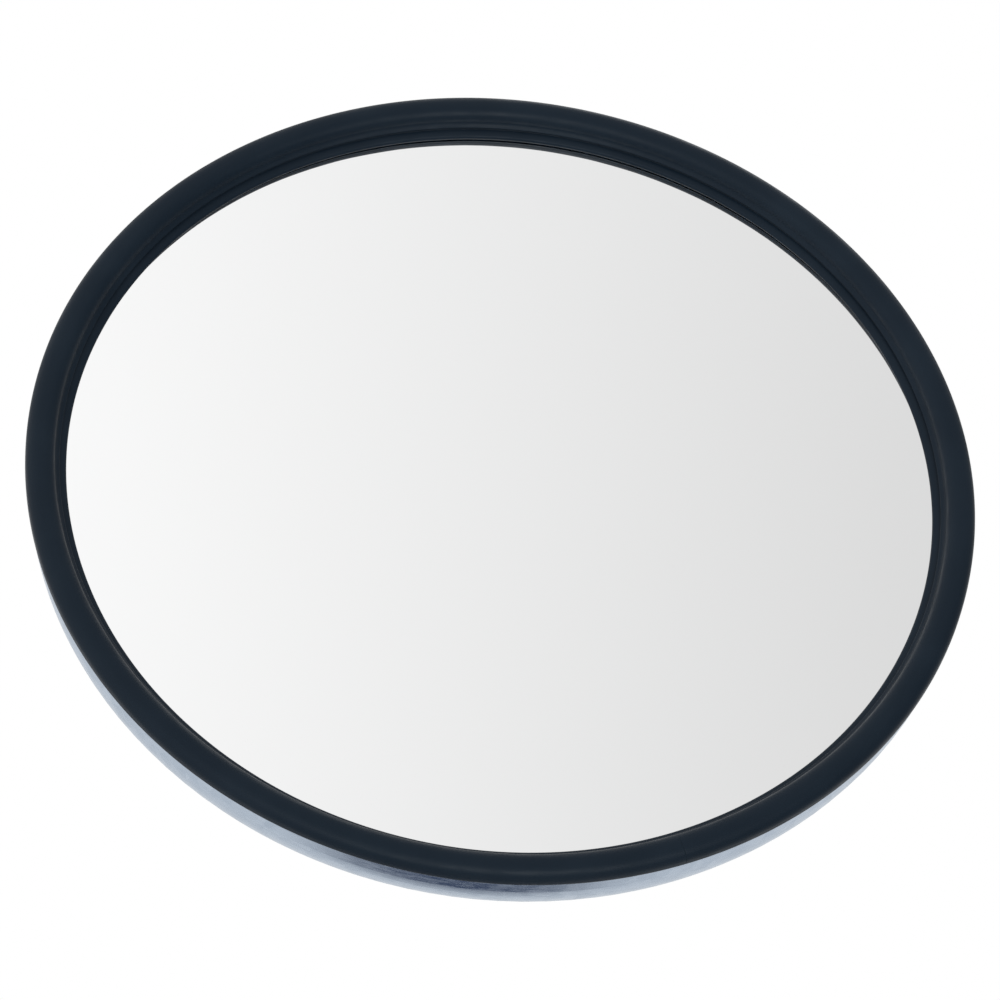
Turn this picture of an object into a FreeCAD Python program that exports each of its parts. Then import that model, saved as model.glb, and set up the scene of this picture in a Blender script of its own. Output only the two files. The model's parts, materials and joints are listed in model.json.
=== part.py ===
import FreeCAD, Part
import math
import os

# Round convex security mirror on a short wall bracket.
# Millimetres. +Z is up and the mirror faces -Y. The origin is the centre of the wall
# plate's back face, where the bracket meets the wall.

V = FreeCAD.Vector

# ---- driving dimensions -------------------------------------------------------------

# edge trim (one rubber extrusion bent round the glass, its two ends butted)
overall_diameter = 304.8
bead_width = 9.4
bead_height = 3.7
bead_squareness = 2.4
bead_flank_width = 1.5
bead_flank_foot = -1.2
groove_undercut = 0.9
groove_roof = -1.6
groove_floor = -2.9
groove_fillet = 0.4
ledge_width = 1.8
lip_top = -3.7
lip_width = 0.4
lip_foot = -4.3
trim_back = -10.2
skirt_end = -1.6
skirt_chamfer = 0.5
joint_angle = -68.6
joint_gap = 0.12

# glass lens
glass_curve_radius = 1300.0
glass_thickness = 3.0
glass_grip = 3.4

# pressed steel back pan
pan_sheet = 0.8
pan_wall_inset = 1.3
pan_edge = 0.6
pan_shoulder_start = -7.9
pan_shoulder_radius = 21.0
pan_dome_angle = 8.0
pan_pad_margin = 6.0

# stiffener inside the pan
stiffener_margin = 4.0
stiffener_thickness = 1.5

# wall plate
plate_width = 76.0
plate_height = 90.0
plate_thickness = 3.0
plate_corner_radius = 8.0
wall_hole_radius = 2.75
wall_hole_spacing_x = 56.0
wall_hole_spacing_z = 70.0

# pressed clevis, used twice: riveted to the wall plate and screwed to the pan
clevis_sheet = 2.5
clevis_reach = 18.0
clevis_base_width = 40.0
clevis_base_margin = 7.0
clevis_base_corner = 4.0
ear_radius = 11.0
clevis_hole_v = 12.0

# swivel knuckle and the distance between its two axes
knuckle_pitch = 27.0
knuckle_boss_radius = 11.0
knuckle_boss_length = 26.0
knuckle_web = 15.0
knuckle_chamfer = 1.0

# bolts, bushes, washers and wing nuts on both axes
bolt_radius = 3.0
bolt_head_across_flats = 10.0
bolt_head_height = 4.0
bush_wall = 1.9
bush_flange_radius = 9.0
bush_flange = 1.0
washer_radius = 6.0
washer_thickness = 1.2
spring_washer_radius = 5.0
spring_washer_thickness = 1.6
spring_washer_slit = 1.0
wing_hub_radius = 5.2
wing_hub_height = 8.0
wing_span_radius = 13.5
wing_thickness = 2.4
wing_height = 10.0
bolt_tail = 2.0

# pan screws, lock washers and nuts
screw_radius = 2.5
screw_head_radius = 4.75
screw_head_height = 3.3
lock_washer_radius = 4.4
lock_washer_thickness = 1.2
nut_across_flats = 8.0
nut_height = 4.0
screw_tail = 1.5

# clevis rivets
rivet_radius = 2.4
rivet_head_radius = 4.2
rivet_head_height = 1.6

# clearances
face_gap = 0.3
running_clearance = 0.05
hole_clearance = 0.2
seat_clearance = 0.1
slot_lead = 0.5
screw_ear_gap = 1.45

# ---- derived places -----------------------------------------------------------------

overall_radius = overall_diameter / 2
bead_inner_radius = overall_radius - bead_width - bead_flank_width
groove_radius = bead_inner_radius + groove_undercut
lip_crest_radius = bead_inner_radius - ledge_width
lip_inner_radius = lip_crest_radius - lip_width
glass_edge_radius = lip_inner_radius + glass_grip
pan_wall_radius = overall_radius - pan_wall_inset

# heights along the mirror's axis are measured forward from the bead's centre plane
glass_centre = lip_foot - math.sqrt(glass_curve_radius**2 - lip_inner_radius**2)
# half the width that each clevis straddles: boss, bush flange and gap
ear_inner = knuckle_boss_length / 2 + bush_flange + face_gap
ear_outer = ear_inner + clevis_sheet
clevis_hole_u = ear_outer + screw_head_radius + screw_ear_gap
clevis_base_length = 2 * (clevis_hole_u + clevis_base_margin)
pan_pad_radius = math.hypot(clevis_base_length, clevis_base_width) / 2 + pan_pad_margin
stiffener_radius = pan_pad_radius - stiffener_margin

shoulder_centre_radius = pan_wall_radius - pan_shoulder_radius
dome_angle = math.radians(pan_dome_angle)
dome_radius = shoulder_centre_radius / math.sin(dome_angle) + pan_shoulder_radius
dome_centre = pan_shoulder_start + (dome_radius - pan_shoulder_radius) * math.cos(dome_angle)
pad_height = dome_centre - math.sqrt(dome_radius**2 - pan_pad_radius**2)

pan_axis_y = -(plate_thickness + clevis_sheet + clevis_reach)
tilt_axis_y = pan_axis_y - knuckle_pitch
pad_y = tilt_axis_y - clevis_reach - clevis_sheet
bead_plane_y = pad_y + pad_height

# both hinge sets are modelled with the axis along X and the clevis's base towards -Y
tilt_frame = FreeCAD.Placement(V(0, tilt_axis_y, 0), FreeCAD.Rotation())
pan_frame = FreeCAD.Placement(V(0, pan_axis_y, 0), FreeCAD.Rotation(V(1, 0, -1), 180))

# places along a hinge axis, outward from the nut-side ear
washer_seat = ear_outer
spring_washer_seat = washer_seat + washer_thickness
wing_nut_seat = spring_washer_seat + spring_washer_thickness + face_gap
bolt_end = wing_nut_seat + wing_hub_height + bolt_tail

clevis_holes = [(u, v) for u in (-clevis_hole_u, clevis_hole_u)
                for v in (-clevis_hole_v, clevis_hole_v)]

os.makedirs("parts", exist_ok=True)


# ---- helpers ------------------------------------------------------------------------

def save(node, shape):
    """Write one node's STEP file."""
    shape.exportStep("parts/" + node + ".step")


def place(shape, frame):
    """Move a shape from a hinge's own axes to the object's."""
    moved = shape.copy()
    moved.Placement = frame.multiply(moved.Placement)
    return moved


def at(radius, height):
    """Point of a revolved outline: radius from the mirror's axis, height forward."""
    return V(radius, bead_plane_y - height, 0)


def line(a, b):
    return Part.LineSegment(a, b).toShape()


def lines(points):
    return [line(a, b) for a, b in zip(points, points[1:])]


def arc(a, middle, b):
    return Part.Arc(a, middle, b).toShape()


def on_circle(centre, radius, angle):
    """Outline point at an angle from straight ahead, turning outward."""
    return at(centre[0] + radius * math.sin(angle), centre[1] + radius * math.cos(angle))


def circle_arc(centre, radius, start, end):
    return arc(on_circle(centre, radius, start),
               on_circle(centre, radius, (start + end) / 2),
               on_circle(centre, radius, end))


def revolve(edges):
    """Closed outline turned about the mirror's axis."""
    outline = Part.Wire(Part.__sortEdges__(edges))
    return Part.Face(outline).revolve(V(0, 0, 0), V(0, 1, 0), 360)


def rod(radius, start, end):
    """Cylinder along X between two places."""
    return Part.makeCylinder(radius, end - start, V(start, 0, 0), V(1, 0, 0))


def tube(outer, inner, start, end):
    return rod(outer, start, end).cut(rod(inner, start, end))


def pin_y(radius, x, z, start, end):
    """Cylinder along Y between two places."""
    return Part.makeCylinder(radius, end - start, V(x, start, z), V(0, 1, 0))


def hexagon(across_flats, height, base, direction):
    """Hexagonal prism standing on a point."""
    corner = across_flats / math.sqrt(3)
    ring = [V(corner * math.cos(i * math.pi / 3), corner * math.sin(i * math.pi / 3), 0)
            for i in range(7)]
    prism = Part.Face(Part.makePolygon(ring)).extrude(V(0, 0, height))
    prism.Placement = FreeCAD.Placement(base, FreeCAD.Rotation(V(0, 0, 1), direction))
    return prism


# ---- mirror head --------------------------------------------------------------------

def glass_height(radius, curve_radius):
    """Height of a face of the lens at a distance from the mirror's axis."""
    return glass_centre + math.sqrt(curve_radius**2 - radius**2)


def make_glass():
    """Convex lens: two concentric spherical faces and a plain cylindrical edge."""
    back_radius = glass_curve_radius - glass_thickness
    centre = at(0, glass_centre)
    front = at(0, glass_height(0, glass_curve_radius)).y
    back = at(0, glass_height(glass_edge_radius, back_radius)).y
    blank = pin_y(glass_edge_radius, 0, 0, front - 1, back + 1)
    blank = blank.common(Part.makeSphere(glass_curve_radius, centre, V(1, 0, 0)))
    return blank.cut(Part.makeSphere(back_radius, centre, V(1, 0, 0)))


def bead_quarter(side):
    """Half of the bead's crowned section, a superellipse: side 1 is outward, -1 inward."""
    half_width = bead_width / 2
    centre = overall_radius - half_width
    power = 2 / bead_squareness
    steps = 8
    turns = [math.pi / 2 * i / steps for i in range(steps + 1)]
    points = [at(centre + side * half_width * math.cos(t)**power,
                 bead_height * math.sin(t)**power) for t in turns[:-1]]
    points.append(at(centre, bead_height))
    curve = Part.BSplineCurve()
    curve.interpolate(Points=points, InitialTangent=V(0, -1, 0), FinalTangent=V(-side, 0, 0))
    return curve.toShape()


def make_trim():
    """Bead, undercut groove and sealing lip; channel for the glass; slot for the pan."""
    flank_radius = overall_radius - bead_width
    corner = groove_fillet * (1 - math.sqrt(0.5))
    slot_inner = pan_wall_radius - pan_sheet - seat_clearance
    slot_outer = pan_wall_radius + seat_clearance
    slot_end = pan_edge + seat_clearance
    lens = (0, glass_centre)
    channel_front = glass_curve_radius + seat_clearance
    channel_back = glass_curve_radius - glass_thickness - seat_clearance
    channel_radius = glass_edge_radius + seat_clearance
    edges = [bead_quarter(1), bead_quarter(-1)]
    edges.append(arc(at(flank_radius, 0),
                     at(flank_radius - bead_flank_width * 0.4, bead_flank_foot * 0.6),
                     at(bead_inner_radius, bead_flank_foot)))
    edges += lines([at(bead_inner_radius, bead_flank_foot),
                    at(groove_radius, groove_roof),
                    at(groove_radius, groove_floor + groove_fillet)])
    edges.append(arc(at(groove_radius, groove_floor + groove_fillet),
                     at(groove_radius - corner, groove_floor + corner),
                     at(groove_radius - groove_fillet, groove_floor)))
    edges += lines([at(groove_radius - groove_fillet, groove_floor),
                    at(lip_crest_radius, lip_top),
                    at(lip_inner_radius, glass_height(lip_inner_radius, channel_front))])
    edges.append(circle_arc(lens, channel_front,
                            math.asin(lip_inner_radius / channel_front),
                            math.asin(channel_radius / channel_front)))
    edges.append(line(at(channel_radius, glass_height(channel_radius, channel_front)),
                      at(channel_radius, glass_height(channel_radius, channel_back))))
    edges.append(circle_arc(lens, channel_back,
                            math.asin(channel_radius / channel_back),
                            math.asin(lip_inner_radius / channel_back)))
    edges += lines([at(lip_inner_radius, glass_height(lip_inner_radius, channel_back)),
                    at(lip_inner_radius, trim_back),
                    at(slot_inner - slot_lead, trim_back),
                    at(slot_inner, pan_shoulder_start),
                    at(slot_inner, slot_end),
                    at(slot_outer, slot_end),
                    at(slot_outer, skirt_end),
                    at(overall_radius - skirt_chamfer, skirt_end),
                    at(overall_radius, skirt_end + skirt_chamfer),
                    at(overall_radius, 0)])
    ring = revolve(edges)
    gap = Part.makeBox(overall_radius, overall_radius, joint_gap,
                       V(0, bead_plane_y - overall_radius / 2, -joint_gap / 2))
    gap.rotate(V(0, 0, 0), V(0, 1, 0), -joint_angle)
    return ring.cut(gap)


def make_pan():
    """Deep-drawn dish: straight wall, round shoulder, shallow dome and a flat pad."""
    shoulder = (shoulder_centre_radius, pan_shoulder_start)
    dome = (0, dome_centre)
    wall = math.pi / 2
    tangent = math.pi - dome_angle
    inner_shoulder = pan_shoulder_radius - pan_sheet
    inner_dome = dome_radius - pan_sheet
    inner_pad = pad_height + pan_sheet
    inner_pad_radius = math.sqrt(inner_dome**2 - (dome_centre - inner_pad)**2)
    pad_turn = math.pi - math.asin(pan_pad_radius / dome_radius)
    inner_turn = math.pi - math.asin(inner_pad_radius / inner_dome)
    edges = [line(at(pan_wall_radius, pan_edge), on_circle(shoulder, pan_shoulder_radius, wall)),
             circle_arc(shoulder, pan_shoulder_radius, wall, tangent),
             circle_arc(dome, dome_radius, tangent, pad_turn),
             line(at(pan_pad_radius, pad_height), at(0, pad_height)),
             line(at(0, pad_height), at(0, inner_pad)),
             line(at(0, inner_pad), at(inner_pad_radius, inner_pad)),
             circle_arc(dome, inner_dome, inner_turn, tangent),
             circle_arc(shoulder, inner_shoulder, tangent, wall),
             line(on_circle(shoulder, inner_shoulder, wall),
                  at(pan_wall_radius - pan_sheet, pan_edge)),
             line(at(pan_wall_radius - pan_sheet, pan_edge), at(pan_wall_radius, pan_edge))]
    pan = revolve(edges)
    for x, z in clevis_holes:
        pan = pan.cut(pin_y(screw_radius + hole_clearance, x, z, pad_y - pan_sheet, pad_y))
    return pan


def make_stiffener():
    """Round doubler plate behind the glass that spreads the clevis's load."""
    back = pad_y - pan_sheet
    plate = pin_y(stiffener_radius, 0, 0, back - stiffener_thickness, back)
    for x, z in clevis_holes:
        plate = plate.cut(pin_y(screw_radius + hole_clearance, x, z,
                                back - stiffener_thickness, back))
    return plate


def make_screws():
    """Four pan-head screws with lock washers outside and hexagon nuts inside."""
    seat = pad_y + clevis_sheet
    head_seat = seat + lock_washer_thickness
    nut_back = pad_y - pan_sheet - stiffener_thickness
    tip = nut_back - nut_height - screw_tail
    screws = []
    washers = []
    nuts = []
    for x, z in clevis_holes:
        head = pin_y(screw_head_radius, x, z, head_seat, head_seat + screw_head_height)
        rim = [e for e in head.Edges if e.BoundBox.YMin > head_seat + screw_head_height / 2
               and e.Curve.TypeId == "Part::GeomCircle"]
        head = head.makeFillet(screw_head_height * 0.45, rim)
        screws.append(head.fuse(pin_y(screw_radius, x, z, tip, head_seat)).removeSplitter())
        washer = pin_y(lock_washer_radius, x, z, seat, head_seat)
        washers.append(washer.cut(pin_y(screw_radius + hole_clearance, x, z, seat, head_seat)))
        nut = hexagon(nut_across_flats, nut_height, V(x, nut_back, z), V(0, -1, 0))
        nuts.append(nut.cut(pin_y(screw_radius, x, z, nut_back - nut_height, nut_back)))
    return screws, washers, nuts


# ---- bracket ------------------------------------------------------------------------

def make_clevis(hole_radius):
    """U-shaped pressing: rounded base, two round-ended ears and their bolt holes."""
    base_back = -clevis_reach - clevis_sheet
    base = Part.makeBox(clevis_base_length, clevis_sheet, clevis_base_width,
                        V(-clevis_base_length / 2, base_back, -clevis_base_width / 2))
    corners = [e for e in base.Edges if abs(e.BoundBox.YLength - clevis_sheet) < 0.01]
    base = base.makeFillet(clevis_base_corner, corners)
    for u, v in clevis_holes:
        base = base.cut(pin_y(hole_radius, u, v, base_back, -clevis_reach))
    clevis = base
    for start, end in ((-ear_outer, -ear_inner), (ear_inner, ear_outer)):
        blade = Part.makeBox(end - start, clevis_reach, 2 * ear_radius,
                             V(start, -clevis_reach, -ear_radius))
        ear = blade.fuse(rod(ear_radius, start, end))
        clevis = clevis.fuse(ear.cut(rod(bolt_radius + hole_clearance, start, end)))
    return clevis.removeSplitter()


def make_wall_plate():
    plate = Part.makeBox(plate_width, plate_thickness, plate_height,
                         V(-plate_width / 2, -plate_thickness, -plate_height / 2))
    corners = [e for e in plate.Edges if abs(e.BoundBox.YLength - plate_thickness) < 0.01]
    plate = plate.makeFillet(plate_corner_radius, corners)
    for x in (-wall_hole_spacing_x / 2, wall_hole_spacing_x / 2):
        for z in (-wall_hole_spacing_z / 2, wall_hole_spacing_z / 2):
            plate = plate.cut(pin_y(wall_hole_radius, x, z, -plate_thickness, 0))
    for u, v in clevis_holes:
        plate = plate.cut(pin_y(rivet_radius, v, u, -plate_thickness, 0))
    return plate


def make_rivets():
    """Domed rivets through the clevis and the plate, flush with the plate's back."""
    seat = -plate_thickness - clevis_sheet
    rivets = []
    for u, v in clevis_holes:
        head = pin_y(rivet_head_radius, v, u, seat - rivet_head_height, seat)
        rim = [e for e in head.Edges if e.BoundBox.YMax < seat - rivet_head_height / 2
               and e.Curve.TypeId == "Part::GeomCircle"]
        head = head.makeFillet(rivet_head_height * 0.8, rim)
        rivets.append(head.fuse(pin_y(rivet_radius, v, u, seat, 0)).removeSplitter())
    return rivets


def make_knuckle():
    """Cast block: an upright boss on the pan axis and a crosswise boss on the tilt axis."""
    half = knuckle_boss_length / 2
    bore = bolt_radius + running_clearance + bush_wall
    cross = rod(knuckle_boss_radius, -half, half)
    rims = [e for e in cross.Edges if e.Curve.TypeId == "Part::GeomCircle"]
    cross = cross.makeChamfer(knuckle_chamfer, rims)
    web = Part.makeBox(knuckle_web, knuckle_pitch, knuckle_web,
                       V(-knuckle_web / 2, tilt_axis_y, -knuckle_web / 2))
    knuckle = place(cross, tilt_frame).fuse([place(cross, pan_frame), web]).removeSplitter()
    for frame in (tilt_frame, pan_frame):
        knuckle = knuckle.cut(place(rod(bore, -half, half), frame))
    return knuckle


def make_bushes():
    """Two flanged nylon bushes that meet in the middle of a boss."""
    bore = bolt_radius + running_clearance
    half = knuckle_boss_length / 2
    bushes = []
    for side in (-1, 1):
        sleeve = Part.makeCylinder(bore + bush_wall, half, V(0, 0, 0), V(side, 0, 0))
        flange = Part.makeCylinder(bush_flange_radius, bush_flange, V(side * half, 0, 0),
                                   V(side, 0, 0))
        hole = Part.makeCylinder(bore, half + bush_flange, V(0, 0, 0), V(side, 0, 0))
        bushes.append(sleeve.fuse(flange).removeSplitter().cut(hole))
    return bushes


def make_bolt():
    """Hexagon bolt, head against one ear and tail past the wing nut."""
    head = hexagon(bolt_head_across_flats, bolt_head_height, V(-ear_outer, 0, 0), V(-1, 0, 0))
    shank = rod(bolt_radius, -ear_outer, bolt_end)
    tip = [e for e in shank.Edges if e.BoundBox.XMin > bolt_end - 0.01
           and e.Curve.TypeId == "Part::GeomCircle"]
    return head.fuse(shank.makeChamfer(bolt_radius * 0.25, tip)).removeSplitter()


def make_flat_washer():
    return tube(washer_radius, bolt_radius + hole_clearance, washer_seat,
                washer_seat + washer_thickness)


def make_spring_washer():
    end = spring_washer_seat + spring_washer_thickness
    ring = tube(spring_washer_radius, bolt_radius + hole_clearance, spring_washer_seat, end)
    slit = Part.makeBox(spring_washer_thickness, spring_washer_radius, spring_washer_slit,
                        V(spring_washer_seat, 0, -spring_washer_slit / 2))
    return ring.cut(slit)


def make_wing_nut():
    """Tapered hub with two upswept wings."""
    top = wing_nut_seat + wing_hub_height
    hub = Part.makeCone(wing_hub_radius, wing_hub_radius * 0.8, wing_hub_height,
                        V(wing_nut_seat, 0, 0), V(1, 0, 0))
    nut = hub
    root = wing_hub_radius * 0.5
    for side in (-1, 1):
        tip = side * wing_span_radius
        corner = [V(wing_nut_seat + wing_hub_height * 0.2, side * root, 0),
                  V(wing_nut_seat + wing_hub_height * 0.45, tip * 0.96, 0),
                  V(wing_nut_seat + wing_height * 0.8, tip, 0),
                  V(wing_nut_seat + wing_height, tip * 0.86, 0),
                  V(top, side * root, 0)]
        outline = [line(corner[0], corner[1]),
                   arc(corner[1], corner[2], corner[3]),
                   line(corner[3], corner[4]),
                   line(corner[4], corner[0])]
        wing = Part.Face(Part.Wire(outline)).extrude(V(0, 0, wing_thickness))
        wing.translate(V(0, 0, -wing_thickness / 2))
        nut = nut.fuse(wing)
    return nut.removeSplitter().cut(rod(bolt_radius + running_clearance, wing_nut_seat,
                                        wing_nut_seat + wing_height))


# ---- nodes --------------------------------------------------------------------------

save("mirror_glass", make_glass())
save("edge_trim", make_trim())
save("back_pan", make_pan())
save("stiffener_plate", make_stiffener())

screws, lock_washers, nuts = make_screws()
save("clevis_screws", Part.makeCompound(screws))
save("clevis_lock_washers", Part.makeCompound(lock_washers))
save("clevis_nuts", Part.makeCompound(nuts))

save("wall_plate", make_wall_plate())
save("clevis_rivets", Part.makeCompound(make_rivets()))
save("swivel_knuckle", make_knuckle())
save("wall_clevis", place(make_clevis(rivet_radius), pan_frame))
save("mirror_clevis", place(make_clevis(screw_radius + hole_clearance), tilt_frame))

for name, frame in (("pan", pan_frame), ("tilt", tilt_frame)):
    save(name + "_bushes", Part.makeCompound([place(b, frame) for b in make_bushes()]))
    save(name + "_bolt", place(make_bolt(), frame))
    save(name + "_flat_washer", place(make_flat_washer(), frame))
    save(name + "_spring_washer", place(make_spring_washer(), frame))
    save(name + "_wing_nut", place(make_wing_nut(), frame))
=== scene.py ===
import json
import math
import bmesh
import bpy
from mathutils import Matrix, Vector


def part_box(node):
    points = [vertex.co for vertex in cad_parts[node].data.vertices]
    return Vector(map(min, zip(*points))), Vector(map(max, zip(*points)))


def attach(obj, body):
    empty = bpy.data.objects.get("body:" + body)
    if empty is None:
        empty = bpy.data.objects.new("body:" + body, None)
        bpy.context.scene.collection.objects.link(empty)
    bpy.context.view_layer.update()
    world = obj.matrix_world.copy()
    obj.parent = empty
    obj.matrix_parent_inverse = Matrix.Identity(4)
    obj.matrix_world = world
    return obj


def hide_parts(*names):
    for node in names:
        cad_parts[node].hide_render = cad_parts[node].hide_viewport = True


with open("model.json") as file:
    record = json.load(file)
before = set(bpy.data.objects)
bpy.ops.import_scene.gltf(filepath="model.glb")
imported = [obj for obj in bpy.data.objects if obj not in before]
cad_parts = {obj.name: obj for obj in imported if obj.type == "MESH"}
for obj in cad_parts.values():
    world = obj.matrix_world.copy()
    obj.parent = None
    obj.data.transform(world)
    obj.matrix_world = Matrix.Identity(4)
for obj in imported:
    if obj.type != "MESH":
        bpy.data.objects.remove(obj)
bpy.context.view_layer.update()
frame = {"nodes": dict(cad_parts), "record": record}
nodes = frame["nodes"]

# Metres, in the CAD frame: +Z up, the mirror faces -Y, origin on the wall.

MM = 0.001

# ---- places taken from the frame ----------------------------------------------------

BEAD_CROWN = 3.7 * MM          # crown of the trim's bead in front of the bead's centre plane
trim_low, trim_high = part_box("edge_trim")
RIM_RADIUS = trim_high.x
BEAD_PLANE_Y = trim_low.y + BEAD_CROWN
RIM_CENTRE = Vector((0, BEAD_PLANE_Y, 0))


# ---- camera -------------------------------------------------------------------------

VIEW_AZIMUTH = math.radians(-6.0)
VIEW_ELEVATION = math.radians(-35.3)
VIEW_DISTANCE = 10.0 * RIM_RADIUS
VIEW_LENS = 171.6
VIEW_SHIFT = (-0.004, -0.0306)
VIEW_CLIP = (0.05, 50)


def add_camera():
    """Below and a little left of the mirror, looking up at it, through a long lens."""
    back = Vector((math.sin(VIEW_AZIMUTH) * math.cos(VIEW_ELEVATION),
                   -math.cos(VIEW_AZIMUTH) * math.cos(VIEW_ELEVATION),
                   math.sin(VIEW_ELEVATION)))
    data = bpy.data.cameras.new("camera")
    data.lens = VIEW_LENS
    data.shift_x, data.shift_y = VIEW_SHIFT
    data.clip_start, data.clip_end = VIEW_CLIP
    camera = bpy.data.objects.new("camera", data)
    camera.location = RIM_CENTRE + back * VIEW_DISTANCE
    camera.rotation_euler = back.to_track_quat("Z", "Y").to_euler()
    bpy.context.scene.collection.objects.link(camera)
    bpy.context.scene.camera = camera


add_camera()


# ---- light --------------------------------------------------------------------------

def add_node(tree, kind, **values):
    """Adds a shader node; values set its sockets or, failing that, its own properties."""
    node = tree.nodes.new(kind)
    for name, value in values.items():
        label = name.replace("_", " ")
        if label in node.inputs:
            node.inputs[label].default_value = value
        else:
            setattr(node, name, value)
    return node


def dot(tree, vector, direction):
    node = add_node(tree, "ShaderNodeVectorMath", operation="DOT_PRODUCT")
    tree.links.new(vector, node.inputs[0])
    node.inputs[1].default_value = Vector(direction).normalized()
    return node.outputs["Value"]


def remap(tree, value, from_min, from_max, to_min, to_max, smooth=True):
    node = add_node(tree, "ShaderNodeMapRange")
    node.interpolation_type = "SMOOTHSTEP" if smooth else "LINEAR"
    tree.links.new(value, node.inputs["Value"])
    for name, number in (("From Min", from_min), ("From Max", from_max),
                         ("To Min", to_min), ("To Max", to_max)):
        node.inputs[name].default_value = number
    return node.outputs["Result"]


def mix_colour(tree, factor, a, b, blend="MIX"):
    node = add_node(tree, "ShaderNodeMix", data_type="RGBA", blend_type=blend)
    for socket, value in ((node.inputs[0], factor), (node.inputs[6], a), (node.inputs[7], b)):
        if hasattr(value, "links"):
            tree.links.new(value, socket)
        elif isinstance(value, (int, float)):
            socket.default_value = value
        else:
            socket.default_value = tuple(value) + (1.0,) * (4 - len(value))
    return node.outputs[2]


SIDE_COSINES = (-0.6, 0.8)     # from the left wall of the tent to the right one
SIDE_LEVELS = (1.25, 0.525)
BACKDROP = (1.0, 1.0, 1.0)

# Soft patches: direction, cosines where each begins and is full, and colour.
STUDIO_PATCHES = (
    ((0, 1, 0), 0.0, 0.45, (0.86, 0.87, 0.88)),                     # all of the back
    ((-0.02, 0.74, -0.67), 0.88, 0.985, (0.012, 0.035, 0.10)),      # dark blue, low behind
    ((0.3, 0.05, 0.95), 0.93, 0.995, (2.6, 2.65, 2.7)),             # overhead
    ((0.1, -0.87, -0.48), 0.90, 0.99, (4.2, 4.4, 4.5)),             # low in front
)


def add_world():
    """A studio tent, bright on the left and dimmer to the right, with soft patches in it."""
    world = bpy.data.worlds.new("studio")
    bpy.context.scene.world = world
    world.use_nodes = True
    tree = world.node_tree
    tree.nodes.clear()
    direction = add_node(tree, "ShaderNodeTexCoord").outputs["Generated"]
    side = remap(tree, dot(tree, direction, (1, 0, 0)), *SIDE_COSINES, *SIDE_LEVELS,
                 smooth=False)
    tent = add_node(tree, "ShaderNodeCombineColor")
    for name in ("Red", "Green", "Blue"):
        tree.links.new(side, tent.inputs[name])
    light = tent.outputs["Color"]
    for patch, begins, full, colour in STUDIO_PATCHES:
        share = remap(tree, dot(tree, direction, patch), begins, full, 0.0, 1.0)
        light = mix_colour(tree, share, light, colour)
    seen = mix_colour(tree, add_node(tree, "ShaderNodeLightPath").outputs["Is Camera Ray"],
                      light, BACKDROP)
    background = add_node(tree, "ShaderNodeBackground")
    output = add_node(tree, "ShaderNodeOutputWorld")
    tree.links.new(seen, background.inputs["Color"])
    tree.links.new(background.outputs["Background"], output.inputs["Surface"])


add_world()
bpy.context.scene.view_settings.view_transform = "Standard"


# ---- materials ----------------------------------------------------------------------

def material(name, colour, roughness, metallic=0.0, **sockets):
    mat = bpy.data.materials.new(name)
    mat.use_nodes = True
    shader = mat.node_tree.nodes["Principled BSDF"]
    shader.inputs["Base Color"].default_value = tuple(colour) + (1.0,)
    shader.inputs["Roughness"].default_value = roughness
    shader.inputs["Metallic"].default_value = metallic
    for socket, value in sockets.items():
        shader.inputs[socket.replace("_", " ")].default_value = value
    return mat, mat.node_tree, shader


def object_place(tree):
    return add_node(tree, "ShaderNodeTexCoord").outputs["Object"]


def noise(tree, vector, scale, detail=2.0, roughness=0.5):
    node = add_node(tree, "ShaderNodeTexNoise", Scale=scale, Detail=detail,
                    Roughness=roughness)
    tree.links.new(vector, node.inputs["Vector"])
    return node.outputs["Fac"]


def bump(tree, shader, height, distance, strength=1.0, normal=None):
    node = add_node(tree, "ShaderNodeBump", Strength=strength, Distance=distance)
    tree.links.new(height, node.inputs["Height"])
    if normal is not None:
        tree.links.new(normal, node.inputs["Normal"])
    tree.links.new(node.outputs["Normal"], shader.inputs["Normal"])
    return node.outputs["Normal"]


AROUND_SCALE = 0.02            # stretches a texture along the ring


def ring_place(tree):
    """Coordinates that run round the mirror's axis: radius, slowed angle, depth."""
    split = add_node(tree, "ShaderNodeSeparateXYZ")
    tree.links.new(object_place(tree), split.inputs[0])
    flat = add_node(tree, "ShaderNodeCombineXYZ")
    tree.links.new(split.outputs["X"], flat.inputs["X"])
    tree.links.new(split.outputs["Z"], flat.inputs["Y"])
    radius = add_node(tree, "ShaderNodeVectorMath", operation="LENGTH")
    tree.links.new(flat.outputs[0], radius.inputs[0])
    angle = add_node(tree, "ShaderNodeMath", operation="ARCTAN2")
    tree.links.new(split.outputs["Z"], angle.inputs[0])
    tree.links.new(split.outputs["X"], angle.inputs[1])
    slow = add_node(tree, "ShaderNodeMath", operation="MULTIPLY")
    tree.links.new(angle.outputs[0], slow.inputs[0])
    slow.inputs[1].default_value = AROUND_SCALE
    place = add_node(tree, "ShaderNodeCombineXYZ")
    tree.links.new(radius.outputs["Value"], place.inputs["X"])
    tree.links.new(slow.outputs[0], place.inputs["Y"])
    tree.links.new(split.outputs["Y"], place.inputs["Z"])
    return place.outputs[0]


def mirror_material():
    mat, tree, shader = material("silvered_glass", (0.918, 0.920, 0.920), 0.012, metallic=1.0,
                                 Coat_Weight=0.6, Coat_Roughness=0.01)
    place = object_place(tree)
    smear = remap(tree, noise(tree, place, 14.0, 4.0), 0.45, 0.75, 0.008, 0.03)
    tree.links.new(smear, shader.inputs["Roughness"])
    bump(tree, shader, noise(tree, place, 22.0, 1.0), 0.00001)
    return mat


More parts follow.
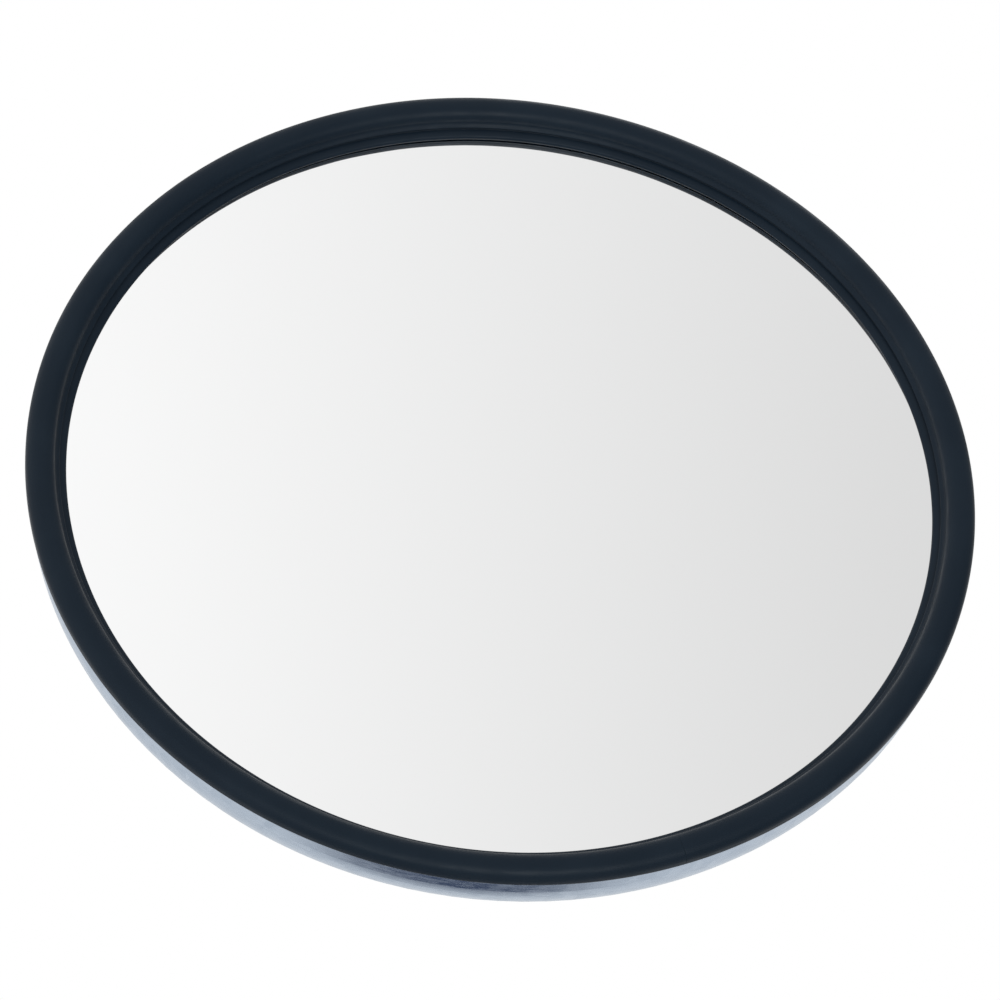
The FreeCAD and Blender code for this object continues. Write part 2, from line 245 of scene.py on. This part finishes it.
def rubber_material():
    mat, tree, shader = material("black_rubber", (0.005, 0.012, 0.021), 0.42,
                                 Specular_IOR_Level=0.11, Sheen_Weight=0.02,
                                 Sheen_Roughness=0.4)
    place = object_place(tree)
    grain = noise(tree, place, 2600.0, 3.0, 0.65)
    streaks = noise(tree, ring_place(tree), 900.0, 3.0)
    bloom = remap(tree, noise(tree, place, 35.0, 4.0), 0.4, 0.75, 0.0, 1.0)
    colour = mix_colour(tree, bloom, (0.0034, 0.0088, 0.0160), (0.0050, 0.0112, 0.0192))
    tree.links.new(colour, shader.inputs["Base Color"])
    tree.links.new(remap(tree, streaks, 0.3, 0.7, 0.36, 0.5), shader.inputs["Roughness"])
    lines = bump(tree, shader, streaks, 0.00003, 0.5)
    bump(tree, shader, grain, 0.00004, 0.6, lines)
    return mat


def galvanised_material():
    mat, tree, shader = material("galvanised_steel", (0.46, 0.53, 0.62), 0.26, metallic=1.0)
    place = object_place(tree)
    spangle = add_node(tree, "ShaderNodeTexVoronoi", Scale=260.0)
    tree.links.new(place, spangle.inputs["Vector"])
    tone = remap(tree, spangle.outputs["Color"], 0.0, 1.0, 0.0, 1.0)
    colour = mix_colour(tree, tone, (0.43, 0.50, 0.59), (0.49, 0.56, 0.65))
    tree.links.new(colour, shader.inputs["Base Color"])
    drawn = noise(tree, ring_place(tree), 1400.0, 3.0)
    tree.links.new(remap(tree, drawn, 0.3, 0.7, 0.20, 0.32), shader.inputs["Roughness"])
    bump(tree, shader, drawn, 0.00002, 0.5)
    return mat


def plated_material(name, colour, roughness):
    mat, tree, shader = material(name, colour, roughness, metallic=1.0)
    place = object_place(tree)
    cloud = noise(tree, place, 60.0, 4.0)
    dark = tuple(channel * 0.86 for channel in colour)
    tree.links.new(mix_colour(tree, cloud, dark, colour), shader.inputs["Base Color"])
    fine = noise(tree, place, 1500.0, 2.0)
    tree.links.new(remap(tree, fine, 0.3, 0.7, roughness * 0.8, roughness * 1.25),
                   shader.inputs["Roughness"])
    bump(tree, shader, fine, 0.00003, 0.4)
    return mat


def nylon_material():
    mat, tree, shader = material("natural_nylon", (0.80, 0.79, 0.74), 0.45,
                                 Subsurface_Weight=0.2, Subsurface_Scale=0.001)
    bump(tree, shader, noise(tree, object_place(tree), 900.0, 2.0), 0.00004, 0.5)
    return mat


MATERIALS = {
    "mirror": mirror_material(),
    "rubber": rubber_material(),
    "galvanised_steel": galvanised_material(),
    "bracket_steel": plated_material("zinc_plate", (0.55, 0.57, 0.60), 0.3),
    "fastener_steel": plated_material("bright_zinc", (0.66, 0.67, 0.68), 0.22),
    "cast_aluminium": plated_material("cast_aluminium", (0.60, 0.61, 0.62), 0.45),
    "nylon": nylon_material(),
}

for subpart in frame["record"]["subparts"]:
    mesh = nodes[subpart["node"]].data
    mesh.materials.clear()
    mesh.materials.append(MATERIALS[subpart["material_slot"]])


# ---- mesh helpers -------------------------------------------------------------------

def make_piece(name, parts, body, slot, *stands_for, sharp=35.0):
    """One object from (vertices, faces) parts, riding on a body in place of CAD nodes."""
    verts, faces = [], []
    for part_verts, part_faces in parts:
        first = len(verts)
        verts += [tuple(v) for v in part_verts]
        faces += [tuple(first + i for i in face) for face in part_faces]
    mesh = bpy.data.meshes.new(name)
    mesh.from_pydata(verts, [], faces)
    tidy = bmesh.new()
    tidy.from_mesh(mesh)
    bmesh.ops.recalc_face_normals(tidy, faces=tidy.faces)
    tidy.to_mesh(mesh)
    tidy.free()
    mesh.shade_smooth()
    mesh.set_sharp_from_angle(angle=math.radians(sharp))
    mesh.materials.append(MATERIALS[slot])
    piece = bpy.data.objects.new(name, mesh)
    bpy.context.scene.collection.objects.link(piece)
    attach(piece, body)
    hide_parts(*stands_for)
    return piece


def moved(part, matrix):
    verts, faces = part
    return [matrix @ Vector(v) for v in verts], faces


def grid(rows, closed_rows, closed_columns, caps=False):
    """Quads between rows of points; caps fill the first and last rows."""
    count = len(rows[0])
    verts = [v for row in rows for v in row]
    faces = []
    for r in range(len(rows) if closed_rows else len(rows) - 1):
        a, b = r * count, (r + 1) % len(rows) * count
        for c in range(count if closed_columns else count - 1):
            d = (c + 1) % count
            faces.append((a + c, a + d, b + d, b + c))
    if caps:
        faces.append(tuple(range(count)))
        faces.append(tuple(reversed(range(len(verts) - count, len(verts)))))
    return verts, faces


def turned(outline, steps, closed=True):
    """Outline of (radius, place along X) turned about X; an open one is capped."""
    rows = [circle_row(along, radius, steps) for radius, along in outline]
    return grid(rows, closed, True, caps=not closed)


HEX_STEPS = 96
HEX_CHAMFER_SLOPE = math.tan(math.radians(30))
HEX_CROWN_SHARE = 0.95         # of half the width across flats


def hex_radius(across_flats, angle):
    """Distance from a hexagon's centre to its side at this angle."""
    side = math.pi / 3
    return across_flats / 2 / math.cos((angle + side / 2) % side - side / 2)


def hex_block(across_flats, height, base, sign, bore=0.0, both=False):
    """Hexagon along X with its corners turned off at 30 degrees, on one face or both."""
    crown = across_flats / 2 * HEX_CROWN_SHARE

    def ring(radius_of, height_of):
        row = []
        for i in range(HEX_STEPS):
            angle = 2 * math.pi * i / HEX_STEPS
            radius = radius_of(angle)
            row.append(Vector((base + sign * height_of(radius), radius * math.cos(angle),
                               radius * math.sin(angle))))
        return row

    def flat(_radius):
        return 0.0

    def top(radius):
        return height - max(0.0, radius - crown) * HEX_CHAMFER_SLOPE

    def bottom(radius):
        return max(0.0, radius - crown) * HEX_CHAMFER_SLOPE if both else 0.0

    def side(angle):
        return hex_radius(across_flats, angle)

    inner = bore if bore else 0.05 * MM
    rows = [ring(lambda _angle: inner, flat),
            ring(lambda _angle: crown if both else inner * 1.01, flat),
            ring(side, bottom), ring(side, top),
            ring(lambda _angle: crown, lambda _radius: height),
            ring(lambda _angle: inner, lambda _radius: height)]
    return grid(rows, bool(bore), True, caps=not bore)


THREAD_STEPS = 36              # points round the rod
THREAD_ROWS = 8                # rows of points to each pitch
THREAD_DEPTH_SHARE = 0.54      # of the pitch


def circle_row(along, radius, steps):
    """Points of a circle about X, at a place along it."""
    return [Vector((along, radius * math.cos(2 * math.pi * i / steps),
                    radius * math.sin(2 * math.pi * i / steps))) for i in range(steps)]


def threaded_rod(radius, start, end, thread_start, pitch, chamfer):
    """Plain shank, then a rolled thread with a chamfered end."""
    depth = pitch * THREAD_DEPTH_SHARE
    rows = [circle_row(start, radius, THREAD_STEPS)]
    along = thread_start
    while along < end - 1e-9:
        row = []
        for i in range(THREAD_STEPS):
            angle = 2 * math.pi * i / THREAD_STEPS
            turn = (along / pitch - angle / (2 * math.pi)) % 1.0
            cut = depth * min(1.0, max(0.0, 1.25 - abs(turn - 0.5) * 2.5 - 0.125))
            cut *= min(1.0, (along - thread_start) / pitch)
            limit = radius - max(0.0, along - (end - chamfer))
            r = min(radius - cut, limit)
            row.append(Vector((along, r * math.cos(angle), r * math.sin(angle))))
        rows.append(row)
        along += pitch / THREAD_ROWS
    rows.append(circle_row(end, radius - chamfer, THREAD_STEPS))
    return grid(rows, False, True, caps=True)


WASHER_STEPS = 64


def split_ring(inner, outer, thickness, rise, slit, base):
    """Spring washer: a square-section ring, cut once, its ends sprung apart."""
    edge = thickness * 0.12        # rounding of the section's corners
    section = [(inner, edge), (inner + edge, 0), (outer - edge, 0), (outer, edge),
               (outer, thickness - edge), (outer - edge, thickness),
               (inner + edge, thickness), (inner, thickness - edge)]
    half = slit / 2 / outer
    rows = []
    for i in range(WASHER_STEPS + 1):
        share = i / WASHER_STEPS
        angle = half + share * (2 * math.pi - 2 * half)
        rows.append([Vector((base + h + rise * share, r * math.cos(angle),
                             r * math.sin(angle))) for r, h in section])
    return grid(rows, False, True, caps=True)


# ---- edge trim ----------------------------------------------------------------------

JOINT_ANGLE = math.radians(-68.6)   # where the trim's ends meet, from +X towards +Z
JOINT_HALF_GAP = 0.01 * MM
# Each end's rounding: distance from the cut and inset of the section there, in millimetres.
END_ROUNDING = ((0.0, 0.07), (0.05, 0.025), (0.12, 0.01), (0.3, 0.0), (0.7, 0.0))
TRIM_STEPS = 640
CROWN_WAVE = 0.03 * MM         # the bead's unevenness, kept behind the CAD's front
WAVE_ABOVE = -2 * MM           # what is higher in the section moves with the wave

PAN_WALL = 1.3 * MM            # pan wall's outer face inside the trim's outside
PAN_SHEET = 0.8 * MM
BEAD_HALF_WIDTH = 4.7          # this and the outlines below are in millimetres
BEAD_POWER = 2 / 2.4           # of a superellipse, squarer than a circle
BEAD_STEPS = 40
LIP_INSET = 3.7                # the lip's edge inside the bead's inner edge
LIP_GRIP = 3.4                 # how far the glass runs in under the lip

# Inset from the bead's inner edge, and height: flank, undercut groove and sealing lip.
GROOVE_OUTLINE = (
    (0.30, -0.42), (0.75, -0.80), (1.18, -1.02), (1.42, -1.14), (1.48, -1.28),
    (1.38, -1.40), (0.62, -1.62), (0.60, -2.50), (0.66, -2.72), (0.82, -2.86),
    (1.05, -2.92), (2.90, -3.46), (3.22, -3.58), (3.42, -3.74), (3.57, -3.96),
    (3.66, -4.18), (3.70, -4.36))


def trim_outline():
    """The trim's section, as (radius, height forward of the bead's centre plane) in metres."""
    crown, rim = BEAD_CROWN / MM, RIM_RADIUS / MM
    centre = rim - BEAD_HALF_WIDTH
    points = []
    for i in range(BEAD_STEPS + 1):
        turn = math.pi * i / BEAD_STEPS
        c, h = math.cos(turn), math.sin(turn)
        points.append((centre + BEAD_HALF_WIDTH * math.copysign(abs(c)**BEAD_POWER, c),
                       crown * h**BEAD_POWER))
    inner = centre - BEAD_HALF_WIDTH
    points += [(inner - inset, height) for inset, height in GROOVE_OUTLINE]
    lip = inner - LIP_INSET
    grip = lip + LIP_GRIP
    points += [(grip, -4.68), (grip, -7.70), (lip, -7.36), (lip, -9.9), (lip + 0.3, -10.2)]
    wall = rim - PAN_WALL / MM
    slot = wall - PAN_SHEET / MM
    points += [(slot - 0.7, -10.2), (slot - 0.1, -8.2), (slot - 0.05, 0.6),
               (wall + 0.05, 0.6), (wall + 0.05, -1.45), (wall + 0.15, -1.6),
               (rim - 0.55, -1.6), (rim - 0.25, -1.52), (rim - 0.07, -1.35),
               (rim, -1.05), (rim, -0.5)]
    return [(radius * MM, height * MM) for radius, height in points]


def add_trim():
    """One extrusion bent into a ring, its cut ends pressed together."""
    outline = trim_outline()
    centre = (RIM_RADIUS - 8 * MM, -3 * MM)      # the section shrinks towards this
    half_gap = JOINT_HALF_GAP / RIM_RADIUS
    ends = [(half_gap + along * MM / RIM_RADIUS, inset * MM) for along, inset in END_ROUNDING]
    plain = ends[-1][0]
    angles = list(ends)
    angles += [(plain + (2 * math.pi - 2 * plain) * i / TRIM_STEPS, 0.0)
               for i in range(1, TRIM_STEPS)]
    angles += [(2 * math.pi - angle, inset) for angle, inset in reversed(ends)]
    rows = []
    for angle, inset in angles:
        turn = JOINT_ANGLE + angle
        wave = (CROWN_WAVE * (math.sin(3 * turn + 0.7) + math.sin(7 * turn + 2.1))
                - 2 * CROWN_WAVE)
        row = []
        for radius, height in outline:
            dr, dh = centre[0] - radius, centre[1] - height
            length = math.hypot(dr, dh)
            r = radius + dr / length * inset
            h = height + dh / length * inset + (wave if height > WAVE_ABOVE else 0.0)
            row.append(Vector((r * math.cos(turn), BEAD_PLANE_Y - h, r * math.sin(turn))))
        rows.append(row)
    make_piece("rubber_edge_trim", [grid(rows, False, True, caps=True)], "mirror_head",
               "rubber", "edge_trim", sharp=50.0)


add_trim()


# ---- fasteners ----------------------------------------------------------------------

tilt_low, tilt_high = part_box("tilt_bolt")
pan_low, pan_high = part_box("pan_bolt")
TILT_FRAME = Matrix.Translation((0, (tilt_low.y + tilt_high.y) / 2, 0))
PAN_FRAME = (Matrix.Translation((0, (pan_low.y + pan_high.y) / 2, 0))
             @ Matrix.Rotation(math.pi, 4, Vector((1, 0, -1))))

BOLT_RADIUS = 3.0 * MM
HEAD_FLATS = 10.0 * MM
HEAD_HEIGHT = 4.0 * MM
HEAD_SEAT = tilt_low.x + HEAD_HEIGHT
BOLT_END = tilt_high.x
WASHER_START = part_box("tilt_spring_washer")[0].x
NUT_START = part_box("tilt_wing_nut")[0].x


def add_bolt(name, frame_matrix, body, node):
    shank = threaded_rod(radius=BOLT_RADIUS - 0.03 * MM, start=HEAD_SEAT, end=BOLT_END,
                         thread_start=WASHER_START - 8 * MM, pitch=1.0 * MM,
                         chamfer=0.75 * MM)
    head = hex_block(HEAD_FLATS, HEAD_HEIGHT, HEAD_SEAT, -1)
    parts = [moved(shank, frame_matrix), moved(head, frame_matrix)]
    make_piece(name, parts, body, "fastener_steel", node, sharp=28.0)


def add_spring_washer(name, frame_matrix, body, node):
    ring = split_ring(inner=3.2 * MM, outer=5.0 * MM, thickness=1.5 * MM, rise=0.2 * MM,
                      slit=1.0 * MM, base=WASHER_START)
    make_piece(name, [moved(ring, frame_matrix)], body, "fastener_steel", node)


# Millimetres from the axis, low edge, high edge and half thickness, from hub to tip.
WING_SPINE = ((3.9, 1.5, 6.9, 1.75), (5.4, 2.1, 7.6, 1.45), (7.2, 2.7, 8.4, 1.25),
              (9.2, 3.2, 9.2, 1.15), (11.2, 3.8, 9.8, 1.1), (12.5, 4.6, 9.9, 1.0),
              (13.2, 5.8, 9.3, 0.8), (13.45, 6.9, 8.3, 0.45))
WING_POWERS = (0.45, 0.6)      # of its rounded section, along and across
WING_STEPS = 20


def wing_part(side):
    """One cast wing: a rounded blade, thick at the hub, swept forward to its tip."""
    rows = []
    for out, low, high, half in WING_SPINE:
        middle, reach = (low + high) / 2, (high - low) / 2
        row = []
        for i in range(WING_STEPS):
            angle = 2 * math.pi * i / WING_STEPS
            c, d = math.cos(angle), math.sin(angle)
            along = middle + reach * math.copysign(abs(c)**WING_POWERS[0], c)
            across = half * math.copysign(abs(d)**WING_POWERS[1], d)
            row.append(Vector((NUT_START + along * MM, side * out * MM, across * MM)))
        rows.append(row)
    return grid(rows, False, True, caps=True)


# Millimetres: radius and height over the seat.
HUB_OUTLINE = ((3.06, 0.0), (4.9, 0.0), (5.15, 0.15), (5.2, 0.5), (5.0, 2.2), (4.6, 5.0),
               (4.25, 7.4), (4.1, 7.8), (3.85, 8.0), (3.4, 8.0), (3.06, 7.7))


def add_wing_nut(name, frame_matrix, body, node):
    hub = turned([(r * MM, NUT_START + x * MM) for r, x in HUB_OUTLINE], 48)
    parts = [moved(part, frame_matrix) for part in (hub, wing_part(1), wing_part(-1))]
    make_piece(name, parts, body, "fastener_steel", node, sharp=40.0)


for prefix, frame_matrix, bolt_body in (("tilt", TILT_FRAME, "mirror_head"),
                                        ("pan", PAN_FRAME, "wall_bracket")):
    add_bolt(prefix + "_hex_bolt", frame_matrix, bolt_body, prefix + "_bolt")
    add_spring_washer(prefix + "_split_washer", frame_matrix, bolt_body,
                      prefix + "_spring_washer")
    add_wing_nut(prefix + "_wing_nut_cast", frame_matrix, prefix + "_wing_nut",
                 prefix + "_wing_nut")


# Millimetres: radius and height over the seat.
SCREW_HEAD_OUTLINE = ((0.05, 0.0), (4.5, 0.0), (4.68, 0.12), (4.75, 0.4), (4.72, 1.2),
                      (4.5, 1.95), (4.1, 2.5), (3.5, 2.9), (2.7, 3.15), (1.8, 3.26),
                      (0.9, 3.3), (0.05, 3.3))
RECESS_ARM, RECESS_HALF, RECESS_DEPTH = 2.15, 0.42, 1.5
# Height over the seat and the share of their length that the arms have there.
RECESS_ROWS = ((3.3 - RECESS_DEPTH, 0.5), (3.3, 1.0), (4.2, 1.0))


def recess_corners(share):
    """A cross with its arms cut to a share of their length."""
    arm, half = RECESS_ARM * share, RECESS_HALF
    return [(arm, half), (half, half), (half, arm), (-half, arm), (-half, half),
            (-arm, half), (-arm, -half), (-half, -half), (-half, -arm), (half, -arm),
            (half, -half), (arm, -half)]


def cross_recess_head():
    """Pan head along X from its seat at 0, with a cross recess sunk in its crown."""
    verts, faces = turned([(r * MM, x * MM) for r, x in SCREW_HEAD_OUTLINE], 48,
                          closed=False)
    head = bpy.data.meshes.new("head")
    head.from_pydata([tuple(v) for v in verts], [], faces)
    rows = [[Vector((height * MM, y * MM, z * MM)) for y, z in recess_corners(share)]
            for height, share in RECESS_ROWS]
    verts, faces = grid(rows, False, True, caps=True)
    cutter = bpy.data.meshes.new("recess")
    cutter.from_pydata([tuple(v) for v in verts], [], faces)
    objects = []
    for mesh in (head, cutter):
        clean = bmesh.new()
        clean.from_mesh(mesh)
        bmesh.ops.recalc_face_normals(clean, faces=clean.faces)
        clean.to_mesh(mesh)
        clean.free()
        made = bpy.data.objects.new(mesh.name, mesh)
        bpy.context.scene.collection.objects.link(made)
        objects.append(made)
    cut = objects[0].modifiers.new("cut", "BOOLEAN")
    cut.operation = "DIFFERENCE"
    cut.object = objects[1]
    cut.solver = "EXACT"
    bpy.context.view_layer.update()
    result = objects[0].evaluated_get(bpy.context.evaluated_depsgraph_get()).to_mesh()
    part = ([v.co.copy() for v in result.vertices],
            [tuple(f.vertices) for f in result.polygons])
    for made in objects:
        bpy.data.objects.remove(made)
    for mesh in (head, cutter):
        bpy.data.meshes.remove(mesh)
    return part


SCREW_HEAD_RADIUS = 4.75 * MM
SCREW_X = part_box("clevis_screws")[1].x - SCREW_HEAD_RADIUS
SCREW_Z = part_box("clevis_screws")[1].z - SCREW_HEAD_RADIUS
SCREW_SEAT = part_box("clevis_lock_washers")[1].y
SCREW_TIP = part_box("clevis_screws")[0].y
NUT_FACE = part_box("clevis_nuts")[1].y
LOCK_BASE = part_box("clevis_lock_washers")[0].y
SCREW_PLACES = [(x, z) for x in (-SCREW_X, SCREW_X) for z in (-SCREW_Z, SCREW_Z)]


def facing(x, y, z, spin, back=True):
    """Places a part made along X at a point, along the mirror's axis."""
    turn = Matrix.Rotation(math.radians(90 if back else -90), 4, "Z")
    return (Matrix.Translation((x, y, z)) @ turn
            @ Matrix.Rotation(math.radians(spin), 4, "X"))


head_part = cross_recess_head()
shank_part = threaded_rod(radius=2.45 * MM, start=0.0, end=SCREW_SEAT - SCREW_TIP,
                          thread_start=5 * MM, pitch=0.8 * MM, chamfer=0.6 * MM)
washer_part = split_ring(inner=2.7 * MM, outer=4.4 * MM, thickness=1.12 * MM,
                         rise=0.06 * MM, slit=0.7 * MM, base=0.0)
nut_part = hex_block(8.0 * MM, 4.0 * MM, base=0.0, sign=1, bore=2.5 * MM, both=True)
screw_parts, washer_parts, nut_parts = [], [], []
for number, (x, z) in enumerate(SCREW_PLACES):
    spin = 23 + 37 * number        # degrees, so that no two stand alike
    screw_parts.append(moved(head_part, facing(x, SCREW_SEAT, z, spin)))
    screw_parts.append(moved(shank_part, facing(x, SCREW_SEAT, z, spin, back=False)))
    washer_parts.append(moved(washer_part, facing(x, LOCK_BASE, z, spin * 2)))
    nut_parts.append(moved(nut_part, facing(x, NUT_FACE, z, spin * 3, back=False)))
make_piece("pan_head_screws", screw_parts, "mirror_head", "fastener_steel",
           "clevis_screws", sharp=32.0)
make_piece("split_lock_washers", washer_parts, "mirror_head", "fastener_steel",
           "clevis_lock_washers")
make_piece("hex_nuts", nut_parts, "mirror_head", "fastener_steel", "clevis_nuts",
           sharp=28.0)


# ---- pressed and cast edges ---------------------------------------------------------

for node, width in (("wall_plate", 0.5), ("wall_clevis", 0.4), ("mirror_clevis", 0.4),
                    ("swivel_knuckle", 0.6), ("tilt_flat_washer", 0.15),
                    ("pan_flat_washer", 0.15)):
    bevel = nodes[node].modifiers.new("edge_break", "BEVEL")
    bevel.width = width * MM
    bevel.segments = 2
    bevel.limit_method = "ANGLE"
    bevel.angle_limit = math.radians(40)


# ---- floor --------------------------------------------------------------------------

FLOOR_DROP = 1.5
FLOOR_RADIUS = 1.3


def add_floor():
    """Pale round floor well below the mirror, which hangs at eye height or above."""
    bpy.ops.mesh.primitive_circle_add(vertices=96, radius=FLOOR_RADIUS, fill_type="NGON",
                                      location=(0, BEAD_PLANE_Y, -FLOOR_DROP))
    floor = bpy.context.object
    floor.name = "floor"
    mat, tree, shader = material("pale_floor", (0.8, 0.8, 0.8), 0.7)
    tone = noise(tree, object_place(tree), 8.0, 3.0)
    tree.links.new(mix_colour(tree, tone, (0.78, 0.78, 0.78), (0.83, 0.83, 0.82)),
                   shader.inputs["Base Color"])
    floor.data.materials.append(mat)


add_floor()
